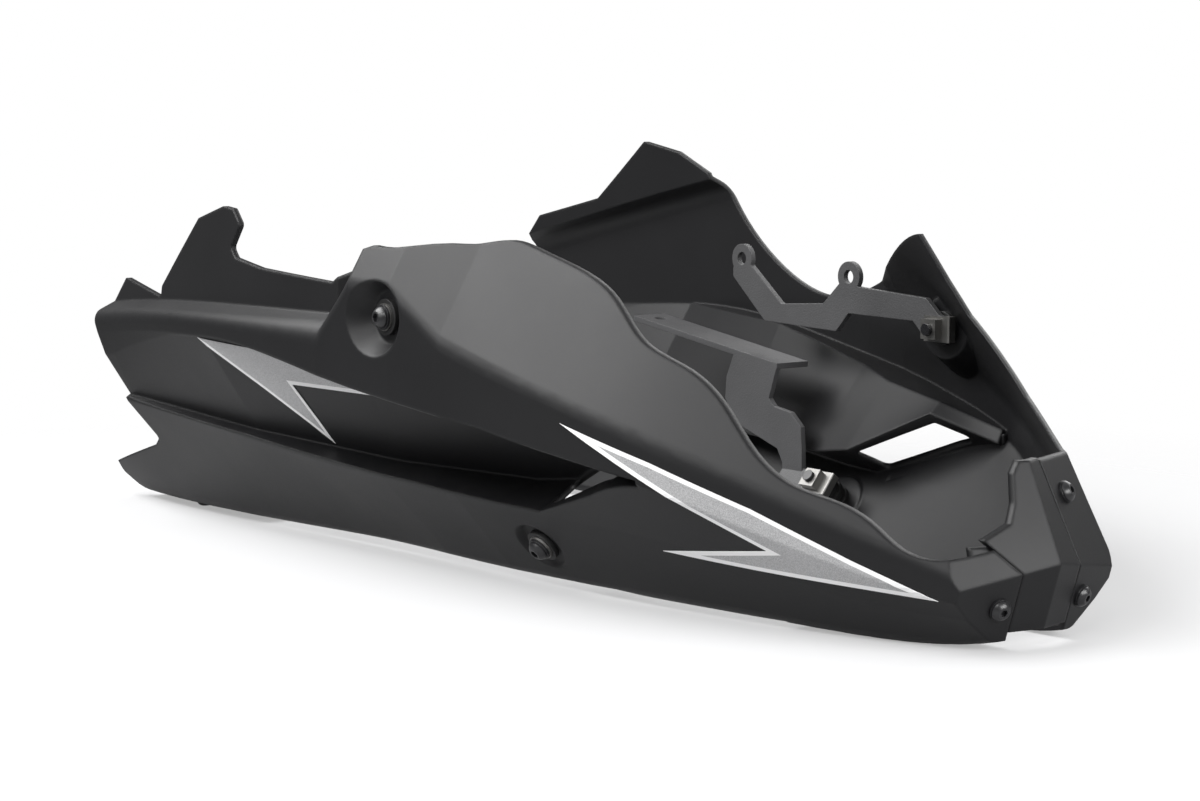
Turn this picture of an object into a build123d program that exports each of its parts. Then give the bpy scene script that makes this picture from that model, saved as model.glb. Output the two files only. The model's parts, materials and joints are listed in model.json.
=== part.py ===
import os
from math import ceil, radians, tan

from build123d import *

# Moulded side panels
wall = 3.0
belly_round = 12.0
crease_round = 14.0
edge_round = 2.5
bevel_angle = 60.0
bevel_run = 46.0
shoulder_run = 12.0
shoulder_rise = 7.0
flange_lean = 6.0

# How far helper shapes reach past the part
past_rim = 20.0
past_middle = 40.0
far_side = 400.0
below = -9.0
past_nose = 25.0

# Stations from tail to nose: distance forward, then half width and height of the
# belly corner, the skirt lip, the wing edge and the crease above them
rear_bolt_head = 3.3
tail = (-335, (100, rear_bolt_head), (140, 60), (150, 94), (152, 104))
hip = (-240, (106, rear_bolt_head), (146, 66), (158, 106), (160, 116))
waist = (-116, (94, rear_bolt_head), (140, 57), (167, 112), (168, 122))
saddle = (-6, (86, rear_bolt_head), (128, 48), (165, 101), (165, 123))
pad_stations = [
    (18, (85, 3), (124, 46), (162, 97), (162, 146)),
    (46, (84, 3), (120, 44), (158, 93), (158, 145)),
    (78, (82, 3), (114, 42), (152, 88), (152, 122)),
]
front_stations = [
    pad_stations[-1],
    (120, (79, 3), (107, 40), (141, 80), (141, 107)),
    (182, (70, 3), (95, 36), (119, 66), (119, 86)),
    (226, (58, 1.5), (79, 28), (95, 50), (97, 68)),
    (278, (38, 0.4), (54, 18), (64, 31), (66, 45)),
    (326, (14, 12), (28, 15), (35, 19), (38, 25)),
]
right_rear = [tail, hip, waist, saddle]
left_shoulders = [(152, 126), (160, 150), (165, 178), (163, 196)]
left_rear = [s[:4] + (top,) for s, top in zip(right_rear, left_shoulders)]
highest_crease = max(station[4][1] for station in pad_stations + front_stations)
highest_rim = highest_crease + bevel_run * tan(radians(bevel_angle))
crown = 10 * ceil((highest_rim + past_rim) / 10)

# Recess behind the wing edge: distance forward, then lip, foot, shelf and wing edge
recess_stations = [
    (-350, (139, 62), (137, 64), (153, 98), (157, 100)),
    (-240, (147, 68), (143.5, 70), (160, 106), (164, 108)),
    (-116, (141, 59), (133, 61), (166, 112), (170, 113)),
    (-10, (130, 50), (112, 54), (141, 107), (166, 101)),
    (76, (116, 44), (92, 53), (123, 92), (152, 88)),
    (102, (111, 43), (89, 56), (115, 86), (146, 84)),
    (149, (117, 57), (100, 77), (104, 80), (132, 74)),
    (182, (118, 64), (114, 66), (115, 68), (120, 67)),
]
mouth = 46.0

# Vent window in the rising front wall of the recess
vent_corners = [Vector(102, 89, 54), Vector(148, 101, 75), Vector(169, 114, 67), Vector(108, 108, 45)]
vent_round = 4.0

# Nose: two front faces meet on a ridge that sweeps back from the middle plane
nose_ridge = Vector(315, 18, 34)
nose_corner = Vector(307, 48, 29)
nose_foot = Vector(307, 18, 8)
nose_peak = Vector(301, 0, 79)
low_normal = (nose_foot - nose_ridge).cross(nose_corner - nose_ridge)
high_normal = (nose_corner - nose_ridge).cross(nose_peak - nose_ridge)
front_low = Plane(origin=nose_ridge, z_dir=low_normal)
front_high = Plane(origin=nose_ridge, z_dir=high_normal)
ahead = nose_ridge.X + past_nose

# Edges of the panels in side view: distance forward and height
tail_edge = [(-253, 92), (-242, 68), (-230, 45), (-240, 40), (-318, 21), (-320, 14), (-274, below)]
right_bevel_edge = [
    (310, 47), (298, 41), (286, 44), (273, 54), (260, 62), (244, 68), (224, 83), (206, 103),
    (190, 115), (170, 125), (148, 145), (106, 164), (90, 168), (76, 166), (63, 166), (44, 164), (24, 164),
]
right_top_edge = [
    (24, 164), (14, 161), (-10, 145), (-74, 149), (-100, 153), (-105, 158), (-96, 170),
    (-104, 178), (-114, 179), (-142, 172), (-186, 134), (-187, 128), (-236, 136), (-258, 117),
]
left_bevel_edge = [(ahead, 78), (281, 78), (231, 95), (176, 126), (172, 128), (158, 145), (144, 167)]
left_scallop = [(144, 167), (82, 148), (10, 126), (-44, 146), (-85, 193)]
left_top_edge = [(-85, 193), (-110, 205), (-140, 211), (-186, 176), (-242, 164), (-258, 147), (-258, 117)]

# Openings in plan: belly window, rear belly flange and nose seam
belly_edge = [(-175, 99), (-16, 87), (120, 80), (216, 61)]
belly_window_height = 14.0
rear_flange_inside = 62.0
right_seam = [(18, -20), (18, 34), (32, 49), (32, 82)]
left_seam = [(18, -20), (17.5, 34), (8.5, 82)]
seam_gap = 0.4

# Nose joiner: skin between the seams and flanges behind the panels
joiner_back = 240.0
joiner_flange = 2.5
joiner_left_skin = [(0, 8), (18, 8), (17.5, 34), (8.5, 79), (0, 79)]
joiner_right_skin = [(0, 8), (18, 8), (18, 34), (31, 48), (17, 54), (12.5, 62), (9, 74), (5, 79), (0, 79)]
joiner_left_flange = [(6, 12.5), (24, 12.5), (33, 18), (36, 33), (32, 60), (27, 75), (4, 75)]
joiner_right_flange = [(6, 12.5), (24, 12.5), (33, 18), (37, 33), (35, 45), (6, 45)]

# Rubber mounts: grommet, flanged sleeve, washer, M6 button head bolt and nut
fit = 0.2
grommet_radius = 8.6
grommet_lip = 2.5
panel_hole = 6.3
spacer_long = 14.0
spacer_rings = 3
spacer_waist = 7.2
sleeve_radius = 4.0
sleeve_flange = 6.5
sleeve_flange_thick = 1.0
washer_radius = 6.0
washer_thick = 1.2
bolt_radius = 3.0
bolt_head_radius = 5.25
bolt_socket = 4.0
nut_across = 10.0
nut_flange = 6.6
nut_high = 6.0
thread_past = 2.0

# Dishes that the mounts sit in, on the left hand side
dish_floor = 12.5
dish_mouth = 24.0
dish_deep = 16.0
upper_right_mount = Plane(origin=(38, 151, 131), x_dir=(1, 0, 0), z_dir=(0, 1, 0))
upper_left_mount = Plane(origin=(142, 116, 119), x_dir=(1, 0, 0), z_dir=(0, 1, 0))
lower_mount = Plane(origin=(85, 95.5, 24), x_dir=(1, 0, 0), z_dir=(0, 0.79, -0.615))

# Smaller M5 screws at the nose: half width and height on the front faces
screw_radius = 2.5
screw_head_radius = 4.75
screw_head = 2.75
screw_washer = 5.0
screw_washer_thick = 1.0
screw_socket = 3.0
screw_nut_across = 8.0
screw_nut_flange = 5.6
screw_nut_high = 4.7
low_screw_spot = (25.5, 19)
high_screw_spot = (24, 63)

# Clip nuts folded over the bracket tabs
plate = 3.0
clip_sheet = 1.0
clip_width = 13.0
clip_front = 9.0
clip_tail = 7.0
clip_nut = 10.0
clip_nut_high = 4.5
clip_gap = plate + fit

# Steel brackets in side view, and the rear cross strap
bracket_hole = 3.5
bracket_round = 2.0
upper_ears = [(-5, 148), (79, 142)]
ear_radius = 8.0
upper_bracket_edge = [
    (-12, 144), (-12, 138), (14, 115), (70, 113), (79, 123), (126, 122), (136, 112.5), (151, 112.5),
    (151, 124), (144, 126), (135, 134), (88, 137), (73, 139), (60, 127), (27, 125), (2, 145),
]
lower_bend_up = 5.5
lower_face_edge = [(17, 99), (51, 94), (45, 77), (49, 73), (62, 71), (70, 64), (71, 52)]
lower_face_back = [(56, 44), (52, 51), (21, 61), (10, 74), (11, 86)]
lower_flange_start = (-69, 111)
lower_flange_end = (51, 93)
lower_flange_wide = 22.0
lower_hole_in = 10.5
strap_wide = 30.0
strap_forward = -252.0
strap_bolt_in = 14.0
strap_bolt_out = hip[1][0] - strap_bolt_in
strap_past = 4.0


def profile(x, points, grow, rounds=()):
    with BuildSketch(Plane.YZ.offset(x)) as shape:
        with BuildLine():
            Polyline(*points, close=True)
        make_face()
        if grow:
            offset(amount=grow, kind=Kind.INTERSECTION, mode=Mode.REPLACE)
        for corner, radius in rounds:
            spot = shape.vertices().sort_by_distance((corner[0], corner[1], 0))[0]
            fillet(spot, radius=max(radius + grow, 2))
    return shape.sketch


def hull_profile(station, rim, grow):
    x, belly, lip, wing, crease = station
    top = (rim[0] - flange_lean, crown)
    points = [(-past_middle, belly[1]), belly, lip, wing, crease, rim, top, (-past_middle, crown)]
    soft = min(crease_round, 0.8 * (crease[1] - wing[1]))
    return profile(x, points, grow, ((belly, min(belly_round, soft + 4)), (crease, soft)))


def ahead_of_nose(depth):
    with BuildPart() as cutter:
        for face in (front_low, front_high):
            with BuildSketch(face.offset(-depth)):
                Rectangle(2 * crown, 2 * crown)
            extrude(amount=crown)
    return cutter.part


def hull(rear, grow=0.0):
    rear_profiles = []
    for station in rear:
        rim = (station[4][0] - shoulder_run, station[4][1] + shoulder_rise)
        rear_profiles.append(hull_profile(station, rim, grow))
    bevelled = []
    for station in pad_stations + front_stations[1:]:
        rim = (station[4][0] - bevel_run, station[4][1] + bevel_run * tan(radians(bevel_angle)))
        bevelled.append(hull_profile(station, rim, grow))
    pad_end = len(pad_stations)
    with BuildPart() as body:
        loft(rear_profiles, clean=False)
        loft(rear_profiles[-1:] + bevelled[:pad_end], ruled=True, clean=False)
        loft(bevelled[pad_end - 1:], clean=False)
        add(ahead_of_nose(-grow), mode=Mode.SUBTRACT, clean=False)
    return body.part


def recess(grow=0.0):
    with BuildPart() as pocket:
        sections = []
        for x, lip, foot, shelf, wing in recess_stations:
            low = Vector(*foot) + (Vector(*lip) - Vector(*foot)).normalized() * mouth
            high = Vector(*shelf) + (Vector(*wing) - Vector(*shelf)).normalized() * mouth
            corners = [foot, shelf, (high.X, high.Y), (low.X, low.Y)]
            sections.append(profile(x, corners, grow))
        loft(sections, ruled=True)
    return pocket.part


def dish(mount, grow=0.0):
    with BuildPart(mount.offset(-grow)) as bowl:
        stand = (Align.CENTER, Align.CENTER, Align.MIN)
        Cone(dish_floor + grow, dish_mouth + grow, dish_deep + grow, align=stand)
    return bowl.part


def right_view():
    with BuildSketch(Plane.XZ) as view:
        with BuildLine():
            Spline(*right_bevel_edge)
            rest = right_top_edge + tail_edge + [(ahead, below), (ahead, 60), right_bevel_edge[0]]
            FilletPolyline(*rest, radius=edge_round)
        make_face()
    return view.sketch


def left_view():
    with BuildSketch(Plane.XZ) as view:
        with BuildLine():
            Spline(*left_scallop)
            FilletPolyline(*left_top_edge, *tail_edge, (ahead, below), *left_bevel_edge, radius=edge_round)
        make_face()
    return view.sketch


def side_panel(rear, view, seam, mounts, screws):
    runout = (rear[0][0] - 2 * wall,) + rear[0][1:]
    with BuildPart() as hollow:
        add(hull([runout] + rear[1:], -wall))
        add(recess(wall), mode=Mode.SUBTRACT, clean=False)
        for mount in mounts:
            add(dish(mount, wall), mode=Mode.SUBTRACT, clean=False)
    with BuildPart() as panel:
        add(hull(rear))
        add(recess(), mode=Mode.SUBTRACT, clean=False)
        for mount in mounts:
            add(dish(mount), mode=Mode.SUBTRACT, clean=False)
        add(hollow.part, mode=Mode.SUBTRACT, clean=False)
        extrude(view, amount=-far_side, mode=Mode.INTERSECT, clean=False)
        # Open belly between the rear flange and the nose
        back, front = belly_edge[0][0], belly_edge[-1][0]
        with BuildSketch(Plane.XY.offset(-belly_window_height)):
            with BuildLine():
                Polyline((back, -past_middle), *belly_edge, (front, -past_middle), close=True)
            make_face()
        extrude(amount=2 * belly_window_height, mode=Mode.SUBTRACT, clean=False)
        with BuildSketch(Plane.XY.offset(-belly_window_height)):
            with Locations((back, rear_flange_inside)):
                Rectangle(far_side, far_side, align=(Align.MAX, Align.MAX))
        extrude(amount=far_side, mode=Mode.SUBTRACT, clean=False)
        # Seam beside the nose joiner
        with BuildSketch(Plane.YZ):
            with BuildLine():
                edge = [(u + seam_gap / 2, z) for u, z in seam]
                across = [(edge[-1][0], crown), (-2 * past_middle, crown), (-2 * past_middle, edge[0][1])]
                Polyline(*edge, *across, close=True)
            make_face()
        extrude(amount=far_side, mode=Mode.SUBTRACT, clean=False)
        # Vent window
        corner, top, far, low = vent_corners
        window = Plane(origin=corner, x_dir=top - corner, z_dir=(low - corner).cross(far - corner))
        with BuildSketch(window):
            Polygon(*[tuple(window.to_local_coords(spot))[:2] for spot in vent_corners], align=None)
            fillet(vertices(), radius=vent_round)
        extrude(amount=3 * wall, both=True, mode=Mode.SUBTRACT, clean=False)
        # Holes for the grommets, the nose screws and the strap bolt
        with Locations(*mounts):
            Cylinder(panel_hole, 6 * wall, mode=Mode.SUBTRACT)
        with Locations(*screws):
            Cylinder(screw_radius + fit, 6 * wall, mode=Mode.SUBTRACT)
        with Locations((strap_forward, strap_bolt_out, 0)):
            Cylinder(bolt_radius + fit, 6 * wall, mode=Mode.SUBTRACT)
    return panel.part


def on_face(face, spot):
    out = face.z_dir
    back = (out.Y * (spot[0] - face.origin.Y) + out.Z * (spot[1] - face.origin.Z)) / out.X
    return Plane(origin=(face.origin.X - back, spot[0], spot[1]), x_dir=(0, 1, 0), z_dir=out)


def nose_block(outline, depth):
    with BuildPart() as block:
        with BuildSketch(Plane.YZ.offset(joiner_back)):
            with BuildLine():
                Polyline(*outline, close=True)
            make_face()
        extrude(amount=joiner_back)
        add(ahead_of_nose(depth), mode=Mode.SUBTRACT)
    return block.part


def nose_half(skin, flange, screws):
    beside_seam = [(u - seam_gap / 2 if u > 0 else u, z) for u, z in skin]
    with BuildPart() as behind_flange:
        add(nose_block(flange, wall))
        add(nose_block(flange, wall + joiner_flange), mode=Mode.SUBTRACT)
    with BuildPart() as half:
        add(nose_block(beside_seam, 0))
        add(nose_block(beside_seam, wall), mode=Mode.SUBTRACT)
        add(behind_flange.part)
        with Locations(*screws):
            Cylinder(screw_radius + fit, 8 * wall, mode=Mode.SUBTRACT)
    return half.part


def turned(mount, outline):
    half = Plane(origin=mount.origin, x_dir=mount.y_dir, z_dir=mount.x_dir)
    with BuildPart() as piece:
        with BuildSketch(half):
            with BuildLine():
                Polyline(*outline, close=True)
            make_face()
        revolve(axis=Axis(mount.origin, mount.z_dir))
    return piece.part


def grommet(mount, inner_long, rings):
    bore = sleeve_radius + fit
    neck = panel_hole - fit
    outline = [(bore, grommet_lip), (grommet_radius, grommet_lip), (grommet_radius, 0), (neck, 0), (neck, -wall)]
    step = inner_long / (2 * rings - 1)
    for turn in range(rings):
        top = -wall - 2 * turn * step
        outline += [(grommet_radius, top), (grommet_radius, top - step)]
        if turn < rings - 1:
            outline += [(spacer_waist, top - step), (spacer_waist, top - 2 * step)]
    return turned(mount, outline + [(bore, -wall - inner_long)])


def sleeve(mount, inner_long):
    bore = bolt_radius + fit
    top = grommet_lip + sleeve_flange_thick
    outline = [(bore, top), (sleeve_flange, top), (sleeve_flange, grommet_lip), (sleeve_radius, grommet_lip)]
    return turned(mount, outline + [(sleeve_radius, -wall - inner_long), (bore, -wall - inner_long)])


def washer(seat, bore, radius, thick):
    return turned(seat, [(bore, 0), (radius, 0), (radius, thick), (bore, thick)])


def button_bolt(seat, radius, head_radius, head, socket, grip):
    half = Plane(origin=seat.origin, x_dir=seat.y_dir, z_dir=seat.x_dir)
    rim = 0.25 * head
    crown_edge = 0.55 * head_radius
    with BuildPart() as piece:
        with BuildSketch(half):
            with BuildLine():
                RadiusArc((crown_edge, head), (head_radius, rim), 1.2 * head_radius)
                Polyline((head_radius, rim), (head_radius, 0), (radius, 0), (radius, -grip), (0, -grip))
                Polyline((0, -grip), (0, head), (crown_edge, head))
            make_face()
        revolve(axis=Axis(seat.origin, seat.z_dir))
        with BuildSketch(seat.offset(head)):
            RegularPolygon(socket / 2, 6, major_radius=False)
        extrude(amount=-0.6 * head, mode=Mode.SUBTRACT)
    return piece.part


def flange_nut(seat, radius, across, flange, high):
    with BuildPart() as piece:
        with BuildSketch(seat):
            Circle(flange)
        extrude(amount=-0.3 * high, taper=20)
        with BuildSketch(seat):
            RegularPolygon(across / 2, 6, major_radius=False)
        extrude(amount=-high)
        with BuildSketch(seat):
            Circle(radius + fit / 2)
        extrude(amount=-high, mode=Mode.SUBTRACT)
    return piece.part


def clip_nut_on(seat):
    front = clip_front + fit + clip_sheet
    middle = (front - clip_tail) / 2
    deep = clip_gap + 2 * clip_sheet
    hang = (Align.CENTER, Align.CENTER, Align.MAX)
    with BuildPart(seat) as piece:
        with Locations((middle, 0, 0)):
            Box(front + clip_tail, clip_width, deep, align=hang)
        with Locations((middle - clip_sheet, 0, -clip_sheet)):
            Box(front + clip_tail, clip_width, clip_gap, align=hang, mode=Mode.SUBTRACT)
        across = piece.edges().filter_by(Axis(seat.origin, seat.y_dir))
        fillet(across.group_by(Axis(seat.origin, seat.x_dir))[-1], radius=clip_sheet)
        with Locations((0, 0, -deep)):
            Box(clip_nut, clip_nut, clip_nut_high, align=hang)
        with Locations((0, 0, 0)):
            Cylinder(bolt_radius + fit / 2, deep + clip_nut_high, align=hang, mode=Mode.SUBTRACT)
    return piece.part


def save(name, shape, right=False):
    with BuildPart() as piece:
        add(shape)
        if right:
            mirror(about=Plane.XZ, mode=Mode.REPLACE)
    piece.part.label = name
    export_step(piece.part, f"parts/{name}.step")


os.makedirs("parts", exist_ok=True)

# Side panels and the nose joiner between them
low_screw = on_face(front_low, low_screw_spot)
high_screw = on_face(front_high, high_screw_spot)
right_mounts = (upper_right_mount, lower_mount)
left_mounts = (upper_left_mount, lower_mount)
right_panel = side_panel(right_rear, right_view(), right_seam, right_mounts, [low_screw])
left_panel = side_panel(left_rear, left_view(), left_seam, left_mounts, [low_screw, high_screw])
save("right_side_panel", right_panel, right=True)
save("left_side_panel", left_panel)

with BuildPart() as nose_joiner:
    add(nose_half(joiner_right_skin, joiner_right_flange, [low_screw]))
    mirror(about=Plane.XZ, mode=Mode.REPLACE)
    add(nose_half(joiner_left_skin, joiner_left_flange, [low_screw, high_screw]))
nose_joiner.part.label = "nose_joiner"
export_step(nose_joiner.part, "parts/nose_joiner.step")

# Rubber mounted bolts: place, plane, length inside the panel, rings and side
rubber_mounts = [
    ("upper_right", upper_right_mount, grommet_lip, 1, True),
    ("lower_right", lower_mount, spacer_long, spacer_rings, True),
    ("upper_left", upper_left_mount, grommet_lip, 1, False),
    ("lower_left", lower_mount, spacer_long, spacer_rings, False),
]
for place, mount, inner_long, rings, right in rubber_mounts:
    under_washer = mount.offset(grommet_lip + sleeve_flange_thick)
    under_head = under_washer.offset(washer_thick)
    inner_end = mount.offset(-wall - inner_long)
    grip = wall + inner_long + grommet_lip + sleeve_flange_thick + washer_thick + thread_past
    save(f"{place}_grommet", grommet(mount, inner_long, rings), right)
    save(f"{place}_sleeve", sleeve(mount, inner_long), right)
    save(f"{place}_washer", washer(under_washer, bolt_radius + fit, washer_radius, washer_thick), right)
    if right:
        grip += nut_high
        save(f"{place}_nut", flange_nut(inner_end, bolt_radius, nut_across, nut_flange, nut_high), right)
    else:
        grip += clip_gap + 2 * clip_sheet + clip_nut_high
        save(f"{place}_clip_nut", clip_nut_on(inner_end), right)
    bolt = button_bolt(under_head, bolt_radius, bolt_head_radius, rear_bolt_head, bolt_socket, grip)
    save(f"{place}_bolt", bolt, right)

# Upper left bracket, flat plate inside the clip nut
upper_tab = upper_left_mount.offset(-wall - grommet_lip - clip_sheet - fit / 2)
with BuildPart() as upper_left_bracket:
    with BuildSketch(Plane.XZ.offset(-upper_tab.origin.Y)):
        with BuildLine():
            FilletPolyline(*upper_bracket_edge, close=True, radius=bracket_round)
        make_face()
        with Locations(*upper_ears):
            Circle(ear_radius)
            Circle(bracket_hole, mode=Mode.SUBTRACT)
        with Locations((upper_tab.origin.X, upper_tab.origin.Z)):
            Circle(bracket_hole, mode=Mode.SUBTRACT)
    extrude(amount=plate)
upper_left_bracket.part.label = "upper_left_bracket"
export_step(upper_left_bracket.part, "parts/upper_left_bracket.step")

# Lower left bracket: upright face, top flange and a tab square to the bolt
lower_tab = lower_mount.offset(-wall - spacer_long - clip_sheet - fit / 2)
bend = lower_tab.offset(-plate / 2).from_local_coords((0, -lower_bend_up, 0))
face_outside = bend.Y + plate / 2
tab_back = lower_face_back[0][0] - lower_tab.origin.X
start, end = Vector(*lower_flange_start), Vector(*lower_flange_end)
along = (end - start).normalized()
rise = Vector(-along.Y, along.X) * plate
hole_spot = start + along * lower_hole_in
flange_middle = face_outside - plate + lower_flange_wide / 2
flange_hole = Plane(origin=(hole_spot.X, flange_middle, hole_spot.Y), x_dir=(along.X, 0, along.Y),
                    z_dir=(rise.X, 0, rise.Y))
with BuildPart() as lower_left_bracket:
    with BuildSketch(Plane.XZ.offset(-face_outside)):
        with BuildLine():
            foot_edge = [(lower_face_edge[-1][0], bend.Z), (lower_face_back[0][0], bend.Z)]
            Polyline(*lower_face_edge, *foot_edge, *lower_face_back, close=True)
        make_face()
    extrude(amount=plate)
    with BuildSketch(Plane.XZ.offset(plate - face_outside)):
        with BuildLine():
            Polyline(start, end, end + rise, start + rise, close=True)
        make_face()
    extrude(amount=-lower_flange_wide)
    with BuildSketch(flange_hole):
        Circle(bracket_hole)
    extrude(amount=plate, mode=Mode.SUBTRACT)
    with BuildSketch(lower_tab):
        with Locations((tab_back, -lower_bend_up - plate / 2)):
            tab_high = lower_bend_up + plate / 2 + clip_width / 2
            Rectangle(clip_front - tab_back, tab_high, align=(Align.MIN, Align.MIN))
        Circle(bracket_hole, mode=Mode.SUBTRACT)
    extrude(amount=-plate)
lower_left_bracket.part.label = "lower_left_bracket"
export_step(lower_left_bracket.part, "parts/lower_left_bracket.step")

# Nose screws with their washers and nuts
nose_screws = [("right_nose", low_screw, True), ("left_nose", low_screw, False), ("upper_nose", high_screw, False)]
for place, spot, right in nose_screws:
    stack = wall + joiner_flange
    grip = stack + screw_washer_thick + screw_nut_high + thread_past
    head_seat = spot.offset(screw_washer_thick)
    screw = button_bolt(head_seat, screw_radius, screw_head_radius, screw_head, screw_socket, grip)
    nut = flange_nut(spot.offset(-stack), screw_radius, screw_nut_across, screw_nut_flange, screw_nut_high)
    save(f"{place}_screw", screw, right)
    save(f"{place}_washer", washer(spot, screw_radius + fit, screw_washer, screw_washer_thick), right)
    save(f"{place}_nut", nut, right)

# Rear cross strap on the belly flanges, with its bolts and nuts
strap_seat = rear_bolt_head + wall
with BuildPart() as rear_cross_strap:
    with BuildSketch(Plane.XY.offset(strap_seat)):
        with Locations((strap_forward, 0)):
            RectangleRounded(strap_wide, 2 * (strap_bolt_out + strap_past), bracket_round)
        with Locations((strap_forward, strap_bolt_out), (strap_forward, -strap_bolt_out)):
            Circle(bolt_radius + fit, mode=Mode.SUBTRACT)
    extrude(amount=plate)
rear_cross_strap.part.label = "rear_cross_strap"
export_step(rear_cross_strap.part, "parts/rear_cross_strap.step")

strap_down = Plane(origin=(strap_forward, strap_bolt_out, rear_bolt_head), x_dir=(1, 0, 0), z_dir=(0, 0, -1))
rear_grip = wall + plate + nut_high + thread_past
for place, right in (("rear_right", True), ("rear_left", False)):
    bolt = button_bolt(strap_down, bolt_radius, bolt_head_radius, rear_bolt_head, bolt_socket, rear_grip)
    nut = flange_nut(strap_down.offset(-wall - plate), bolt_radius, nut_across, nut_flange, nut_high)
    save(f"{place}_bolt", bolt, right)
    save(f"{place}_nut", nut, right)
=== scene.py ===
import json
from math import cos, radians, sin

import bmesh
import bpy
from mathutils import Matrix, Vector
from mathutils.bvhtree import BVHTree


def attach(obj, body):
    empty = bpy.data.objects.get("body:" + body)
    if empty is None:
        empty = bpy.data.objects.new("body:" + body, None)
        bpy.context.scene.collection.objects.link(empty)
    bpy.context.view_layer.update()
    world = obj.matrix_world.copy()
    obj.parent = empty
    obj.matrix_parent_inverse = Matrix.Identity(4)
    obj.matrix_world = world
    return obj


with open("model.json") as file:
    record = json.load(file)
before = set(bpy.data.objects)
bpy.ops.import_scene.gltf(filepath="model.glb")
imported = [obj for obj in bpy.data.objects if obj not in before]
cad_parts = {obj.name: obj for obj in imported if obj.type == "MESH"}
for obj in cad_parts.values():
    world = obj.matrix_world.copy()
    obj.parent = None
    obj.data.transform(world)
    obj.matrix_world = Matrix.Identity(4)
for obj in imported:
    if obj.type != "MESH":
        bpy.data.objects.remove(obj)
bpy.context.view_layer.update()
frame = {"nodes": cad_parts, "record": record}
nodes = frame["nodes"]
scene = bpy.context.scene
scene.view_settings.view_transform = "Standard"
print("frame loaded:", len(nodes), "nodes")


# shader nodes

unit = (0.0, 1.0)


def feed(tree, value, socket):
    # a socket is linked, a plain value is set
    if isinstance(value, bpy.types.NodeSocket):
        tree.links.new(value, socket)
    else:
        socket.default_value = value


def noiseNode(tree, coords, scale, detail, rough):
    noise = tree.nodes.new("ShaderNodeTexNoise")
    feed(tree, coords, noise.inputs["Vector"])
    feed(tree, scale, noise.inputs["Scale"])
    feed(tree, detail, noise.inputs["Detail"])
    feed(tree, rough, noise.inputs["Roughness"])
    return noise.outputs["Fac"]


def mathNode(tree, kind, first, second, clamp=False):
    node = tree.nodes.new("ShaderNodeMath")
    node.operation = kind
    node.use_clamp = clamp
    feed(tree, first, node.inputs[0])
    feed(tree, second, node.inputs[1])
    return node.outputs[0]


def rangeNode(tree, value, source, target):
    node = tree.nodes.new("ShaderNodeMapRange")
    feed(tree, value, node.inputs["Value"])
    for name, number in zip(("From Min", "From Max", "To Min", "To Max"), (*source, *target)):
        feed(tree, number, node.inputs[name])
    return node.outputs["Result"]


def opaque(colour):
    return (*colour, 1)


def colourMix(tree, mask, low, high):
    mix = tree.nodes.new("ShaderNodeMix")
    mix.data_type = "RGBA"
    feed(tree, mask, mix.inputs["Factor"])
    feed(tree, low, mix.inputs["A"])
    feed(tree, high, mix.inputs["B"])
    return mix.outputs["Result"]


# shader groups

def newGroup(name, inputs, outputs):
    group = bpy.data.node_groups.new(name, "ShaderNodeTree")
    for labels, way in ((inputs, "INPUT"), (outputs, "OUTPUT")):
        for label in labels:
            group.interface.new_socket(label, in_out=way, socket_type="NodeSocketFloat")
    return group, group.nodes.new("NodeGroupInput"), group.nodes.new("NodeGroupOutput")


grainLook = {
    "pebble": {"detail": 2.0, "rough": 0.5},
    "drift": {"scale": 14.0, "detail": 4.0, "rough": 0.6},
    "pebbleShare": 0.4, "band": (0.3, 0.7),
}


def makeGrain(look):
    # pebbled tool texture plus a slow drift in gloss
    group, start, end = newGroup(
        "mouldGrain", ("Scale", "Rough Low", "Rough High"), ("Height", "Roughness", "Drift"))
    coords = group.nodes.new("ShaderNodeTexCoord").outputs["Object"]
    pebble = noiseNode(group, coords, start.outputs["Scale"], **look["pebble"])
    drift = noiseNode(group, coords, **look["drift"])
    fine = mathNode(group, "MULTIPLY", pebble, look["pebbleShare"])
    slow = mathNode(group, "MULTIPLY", drift, 1 - look["pebbleShare"])
    blend = mathNode(group, "ADD", fine, slow)
    limits = (start.outputs["Rough Low"], start.outputs["Rough High"])
    feed(group, pebble, end.inputs["Height"])
    feed(group, rangeNode(group, blend, look["band"], limits), end.inputs["Roughness"])
    feed(group, drift, end.inputs["Drift"])
    return group


dustLook = {
    "colour": (0.32, 0.31, 0.29), "facing": (0.35, 0.95),
    "specks": {"scale": 120.0, "detail": 5.0, "rough": 0.7}, "band": (0.42, 0.7),
}


def makeDust(look):
    # a faint film on faces that look up
    group, start, end = newGroup("shelfDust", ("Amount",), ("Mask",))
    coords = group.nodes.new("ShaderNodeTexCoord")
    split = group.nodes.new("ShaderNodeSeparateXYZ")
    feed(group, coords.outputs["Normal"], split.inputs[0])
    upward = rangeNode(group, split.outputs["Z"], look["facing"], unit)
    specks = noiseNode(group, coords.outputs["Object"], **look["specks"])
    patches = mathNode(group, "MULTIPLY", upward, rangeNode(group, specks, look["band"], unit))
    mask = mathNode(group, "MULTIPLY", patches, start.outputs["Amount"], clamp=True)
    feed(group, mask, end.inputs["Mask"])
    return group


grainGroup = makeGrain(grainLook)
dustGroup = makeDust(dustLook)


def placeGroup(tree, group, values):
    node = tree.nodes.new("ShaderNodeGroup")
    node.node_tree = group
    for name, value in values.items():
        feed(tree, value, node.inputs[name])
    return node.outputs


# finishes

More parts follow.
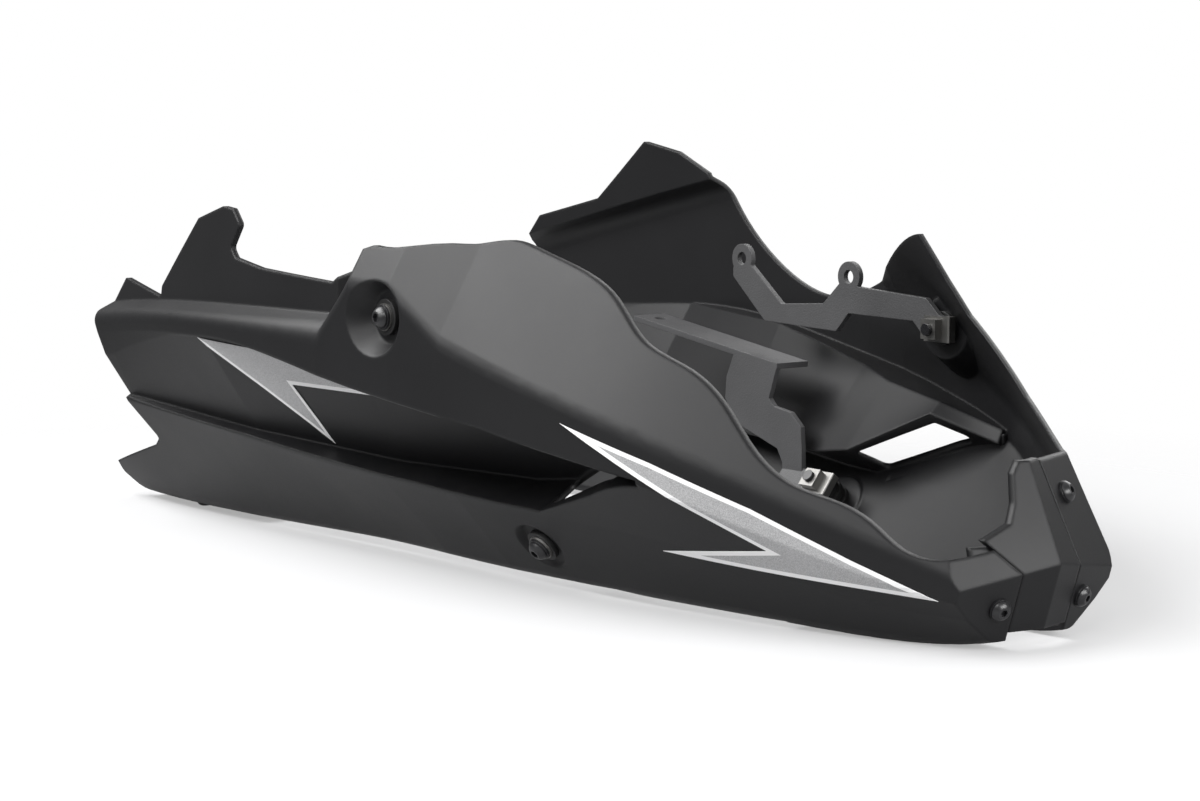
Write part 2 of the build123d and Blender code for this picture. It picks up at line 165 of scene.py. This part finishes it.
finishes = {
    "panel_plastic": {"low": (0.0035, 0.0035, 0.004), "high": (0.006, 0.006, 0.007), "scale": 1100.0,
                      "rough": (0.42, 0.50), "bump": (0.10, 0.0002), "soft": 0.0022,
                      "dust": 0.015, "specular": 0.38, "metallic": 0.0},
    "rubber": {"low": (0.006, 0.006, 0.006), "high": (0.013, 0.013, 0.013), "scale": 1500.0,
               "rough": (0.44, 0.58), "bump": (0.18, 0.0002), "soft": 0.0006,
               "dust": 0.02, "specular": 0.45, "metallic": 0.0},
    "textured_steel": {"low": (0.040, 0.040, 0.041), "high": (0.085, 0.085, 0.088), "scale": 1300.0,
                       "rough": (0.42, 0.60), "bump": (0.60, 0.0003), "soft": 0.0006,
                       "dust": 0.05, "specular": 0.5, "metallic": 0.0},
    "black_steel": {"low": (0.008, 0.008, 0.009), "high": (0.018, 0.018, 0.020), "scale": 1800.0,
                    "rough": (0.26, 0.38), "bump": (0.08, 0.0001), "soft": 0.0003,
                    "dust": 0.0, "specular": 0.6, "metallic": 0.0},
    "zinc_steel": {"low": (0.17, 0.167, 0.16), "high": (0.31, 0.305, 0.295), "scale": 700.0,
                   "rough": (0.40, 0.55), "bump": (0.08, 0.0001), "soft": 0.0,
                   "dust": 0.0, "specular": 0.5, "metallic": 1.0},
}
softSamples = 6


def newMaterial(name):
    mat = bpy.data.materials.new(name)
    mat.use_nodes = True
    return mat, mat.node_tree, mat.node_tree.nodes["Principled BSDF"]


def bumpFrom(tree, shader, height, look):
    bump = tree.nodes.new("ShaderNodeBump")
    if look["soft"]:  # moulded and rolled edges catch the light
        edge = tree.nodes.new("ShaderNodeBevel")
        edge.samples = softSamples
        feed(tree, look["soft"], edge.inputs["Radius"])
        feed(tree, edge.outputs["Normal"], bump.inputs["Normal"])
    strength, distance = look["bump"]
    feed(tree, strength, bump.inputs["Strength"])
    feed(tree, distance, bump.inputs["Distance"])
    feed(tree, height, bump.inputs["Height"])
    feed(tree, bump.outputs["Normal"], shader.inputs["Normal"])


def grainFinish(name, look):
    mat, tree, shader = newMaterial(name)
    roughLow, roughHigh = look["rough"]
    grain = placeGroup(tree, grainGroup, {
        "Scale": look["scale"], "Rough Low": roughLow, "Rough High": roughHigh})
    base = colourMix(tree, grain["Drift"], opaque(look["low"]), opaque(look["high"]))
    if look["dust"]:
        dust = placeGroup(tree, dustGroup, {"Amount": look["dust"]})
        base = colourMix(tree, dust["Mask"], base, opaque(dustLook["colour"]))
    feed(tree, base, shader.inputs["Base Color"])
    feed(tree, grain["Roughness"], shader.inputs["Roughness"])
    feed(tree, look["specular"], shader.inputs["Specular IOR Level"])
    feed(tree, look["metallic"], shader.inputs["Metallic"])
    bumpFrom(tree, shader, grain["Height"], look)
    return mat


filmLook = {
    "low": (0.33, 0.33, 0.335), "high": (0.54, 0.54, 0.545),
    "flake": {"scale": 2600.0, "detail": 1.0, "rough": 0.5}, "band": (0.35, 0.65),
    "rough": (0.34, 0.48), "metallic": 0.25,
}


def filmFinish(look):
    # printed vinyl with a metallic flake
    mat, tree, shader = newMaterial("dart_silver")
    coords = tree.nodes.new("ShaderNodeTexCoord").outputs["Object"]
    mask = rangeNode(tree, noiseNode(tree, coords, **look["flake"]), look["band"], unit)
    base = colourMix(tree, mask, opaque(look["low"]), opaque(look["high"]))
    feed(tree, base, shader.inputs["Base Color"])
    feed(tree, rangeNode(tree, mask, unit, look["rough"]), shader.inputs["Roughness"])
    feed(tree, look["metallic"], shader.inputs["Metallic"])
    return mat


edgingLook = {
    "low": (0.88, 0.88, 0.88), "high": (0.95, 0.95, 0.95),
    "mottle": {"scale": 60.0, "detail": 3.0, "rough": 0.6}, "band": (0.3, 0.7),
    "rough": (0.32, 0.42),
}


def edgingFinish(look):
    mat, tree, shader = newMaterial("dart_white")
    coords = tree.nodes.new("ShaderNodeTexCoord").outputs["Object"]
    mottle = noiseNode(tree, coords, **look["mottle"])
    base = colourMix(tree, mottle, opaque(look["low"]), opaque(look["high"]))
    feed(tree, base, shader.inputs["Base Color"])
    feed(tree, rangeNode(tree, mottle, look["band"], look["rough"]), shader.inputs["Roughness"])
    return mat


slotFinish = {name: grainFinish(name, look) for name, look in finishes.items()}
for part in frame["record"]["subparts"]:
    mesh = nodes[part["node"]].data
    mesh.materials.clear()
    mesh.materials.append(slotFinish[part["material_slot"]])
dartFinishes = [filmFinish(filmLook), edgingFinish(edgingLook)]
print("finishes set:", len(slotFinish) + len(dartFinishes))


def newPiece(name, work, looks):
    mesh = bpy.data.meshes.new(name)
    work.to_mesh(mesh)
    work.free()
    for look in looks:
        mesh.materials.append(look)
    piece = bpy.data.objects.new(name, mesh)
    scene.collection.objects.link(piece)
    return piece


# darts: vinyl film cut to an outline in side view and laid on the panels

dartFilm = {"edge": 0.0020, "cell": 0.0016, "lift": 0.00042, "thick": 0.00018, "castFrom": 0.5, "snap": 1e-6}
rearDart = {
    "outline": [(-0.122, 0.1115), (-0.060, 0.1060), (0.018, 0.0880), (-0.066, 0.0900), (-0.057, 0.0590)],
    "unedged": 2,  # the film runs in under the wing along its first two edges
}
frontDart = {
    "outline": [(0.1465, 0.0900), (0.188, 0.0755), (0.229, 0.0585), (0.267, 0.0390), (0.2985, 0.0243),
                (0.1715, 0.0325), (0.231, 0.0398)],
    "unedged": 0,
}
silver, white = range(2)


def edgeFilm(work, sheet, look, film):
    outer = len(look["outline"])
    sheet.normal_update()
    border = bmesh.ops.inset_region(
        work, faces=[sheet], thickness=film["edge"], use_boundary=True, use_even_offset=True)["faces"]
    work.verts.index_update()
    for face in border:
        lastCorner = max(vert.index for vert in face.verts if vert.index < outer)
        face.material_index = silver if lastCorner <= look["unedged"] else white


def cutCells(work, film):
    # cells small enough to follow the panel
    for axis, normal in ((0, (1, 0, 0)), (2, (0, 0, 1))):
        low = min(vert.co[axis] for vert in work.verts)
        high = max(vert.co[axis] for vert in work.verts)
        for step in range(1, int((high - low) / film["cell"]) + 1):
            spot = Vector((0, 0, 0))
            spot[axis] = low + step * film["cell"]
            geom = work.verts[:] + work.edges[:] + work.faces[:]
            bmesh.ops.bisect_plane(work, geom=geom, plane_co=spot, plane_no=normal, dist=film["snap"])
    bmesh.ops.triangulate(work, faces=work.faces[:])


def layFilm(name, look, panel, side, film):
    work = bmesh.new()
    sheet = work.faces.new([work.verts.new((x, 0, z)) for x, z in look["outline"]])
    edgeFilm(work, sheet, look, film)
    cutCells(work, film)
    tree = BVHTree.FromObject(nodes[panel], bpy.context.evaluated_depsgraph_get())
    inward = Vector((0, -side, 0))
    for vert in work.verts:
        start = Vector((vert.co.x, side * film["castFrom"], vert.co.z))
        hit, normal = tree.ray_cast(start, inward)[:2]
        vert.co = hit + normal * film["lift"]
    work.normal_update()
    if sum(face.normal.y for face in work.faces) * side < 0:
        bmesh.ops.reverse_faces(work, faces=work.faces[:])
    bmesh.ops.solidify(work, geom=work.faces[:], thickness=film["thick"])
    piece = newPiece(name, work, dartFinishes)
    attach(piece, "root")


sides = {"right": -1, "left": 1}
for sideName, side in sides.items():
    for dartName, look in (("rear", rearDart), ("front", frontDart)):
        layFilm(f"{sideName}_{dartName}_dart", look, f"{sideName}_side_panel", side, dartFilm)
print("darts laid")


# moulded web that closes the front tip of each recess

recessTip = {
    "at": (0.1824, 0.1148, 0.0668), "size": (0.0020, 0.0046, 0.0052),
    "round": {"offset": 0.0006, "segments": 2, "profile": 0.5},
}


def closeRecess(name, side, look):
    work = bmesh.new()
    bmesh.ops.create_cube(work, size=1.0)
    bmesh.ops.scale(work, vec=look["size"], verts=work.verts[:])
    bmesh.ops.bevel(work, geom=work.edges[:], affect="EDGES", material=-1, **look["round"])
    along, out, up = look["at"]
    bmesh.ops.translate(work, vec=(along, side * out, up), verts=work.verts[:])
    piece = newPiece(name, work, [slotFinish["panel_plastic"]])
    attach(piece, "root")


for sideName, side in sides.items():
    closeRecess(f"{sideName}_recess_tip", side, recessTip)
print("recess tips closed")


# studio

floorLook = {
    "radius": 1.6, "segments": 96, "fade": (0.30, 0.64), "cover": (0.62, 0.0),
    "colour": (0.64, 0.64, 0.65), "rough": 0.7, "specular": 0.2,
}


def makeFloor(look):
    # paper that thins out into the white backdrop
    mat, tree, shader = newMaterial("floor_paper")
    coords = tree.nodes.new("ShaderNodeTexCoord").outputs["Object"]
    length = tree.nodes.new("ShaderNodeVectorMath")
    length.operation = "LENGTH"
    feed(tree, coords, length.inputs[0])
    cover = rangeNode(tree, length.outputs["Value"], look["fade"], look["cover"])
    feed(tree, cover, shader.inputs["Alpha"])
    feed(tree, opaque(look["colour"]), shader.inputs["Base Color"])
    feed(tree, look["rough"], shader.inputs["Roughness"])
    feed(tree, look["specular"], shader.inputs["Specular IOR Level"])
    work = bmesh.new()
    bmesh.ops.create_circle(work, cap_ends=True, segments=look["segments"], radius=look["radius"])
    floor = newPiece("floor", work, [mat])


backdrop = {"colour": (1, 1, 1), "glossy": 0.22, "fill": 0.07}


def makeWorld(look):
    # white to the camera, dim in reflections and as fill
    world = bpy.data.worlds.new("studio")
    scene.world = world
    world.use_nodes = True
    tree = world.node_tree
    back = tree.nodes["Background"]
    feed(tree, opaque(look["colour"]), back.inputs["Color"])
    rays = tree.nodes.new("ShaderNodeLightPath").outputs
    shown = mathNode(tree, "MAXIMUM", rays["Is Camera Ray"], rays["Is Transmission Ray"])
    gloss = mathNode(tree, "MULTIPLY", rays["Is Glossy Ray"], look["glossy"])
    seen = mathNode(tree, "MAXIMUM", shown, gloss)
    feed(tree, mathNode(tree, "MAXIMUM", seen, look["fill"]), back.inputs["Strength"])


lamps = {
    "key": {"at": (-0.40, -0.72, 1.06), "size": (1.5, 0.70), "power": 30.0},
    "top": {"at": (0.20, 0.20, 1.50), "size": (1.4, 1.2), "power": 2.0},
    "front": {"at": (1.05, 0.10, 0.34), "size": (0.8, 0.3), "power": 7.0},
    "back": {"at": (-0.10, 1.15, 0.75), "size": (1.5, 0.6), "power": 10.0},
    "nose": {"at": (0.68, -0.96, 0.86), "size": (0.9, 0.35), "power": 6.0},
    "side": {"at": (0.10, -1.25, 0.46), "size": (0.9, 0.30), "power": 1.8},
}
lampAim = Vector((0.0, 0.0, 0.08))


def facing(direction):
    return direction.to_track_quat("-Z", "Y").to_euler()


def makeLamp(name, look):
    data = bpy.data.lights.new(name, "AREA")
    data.shape = "RECTANGLE"
    data.size, data.size_y = look["size"]
    data.energy = look["power"]
    lamp = bpy.data.objects.new(name, data)
    lamp.location = look["at"]
    lamp.rotation_euler = facing(lampAim - lamp.location)
    scene.collection.objects.link(lamp)


makeFloor(floorLook)
makeWorld(backdrop)
for lampName, look in lamps.items():
    makeLamp(lampName, look)
print("studio lit")


# camera at the photograph's angle

view = {
    "aim": (0.005, 0.0, 0.078), "azimuth": 52.0, "elevation": 6.5, "away": 1.25,
    "lens": 72.0, "sensor": 36.0,
}


def makeCamera(look):
    data = bpy.data.cameras.new("camera")
    data.lens = look["lens"]
    data.sensor_width = look["sensor"]
    data.sensor_fit = "HORIZONTAL"
    turn, lift = radians(look["azimuth"]), radians(look["elevation"])
    out = Vector((sin(turn) * cos(lift), -cos(turn) * cos(lift), sin(lift)))
    camera = bpy.data.objects.new("camera", data)
    camera.location = Vector(look["aim"]) + out * look["away"]
    camera.rotation_euler = facing(-out)
    scene.collection.objects.link(camera)
    scene.camera = camera


makeCamera(view)
print("camera set")
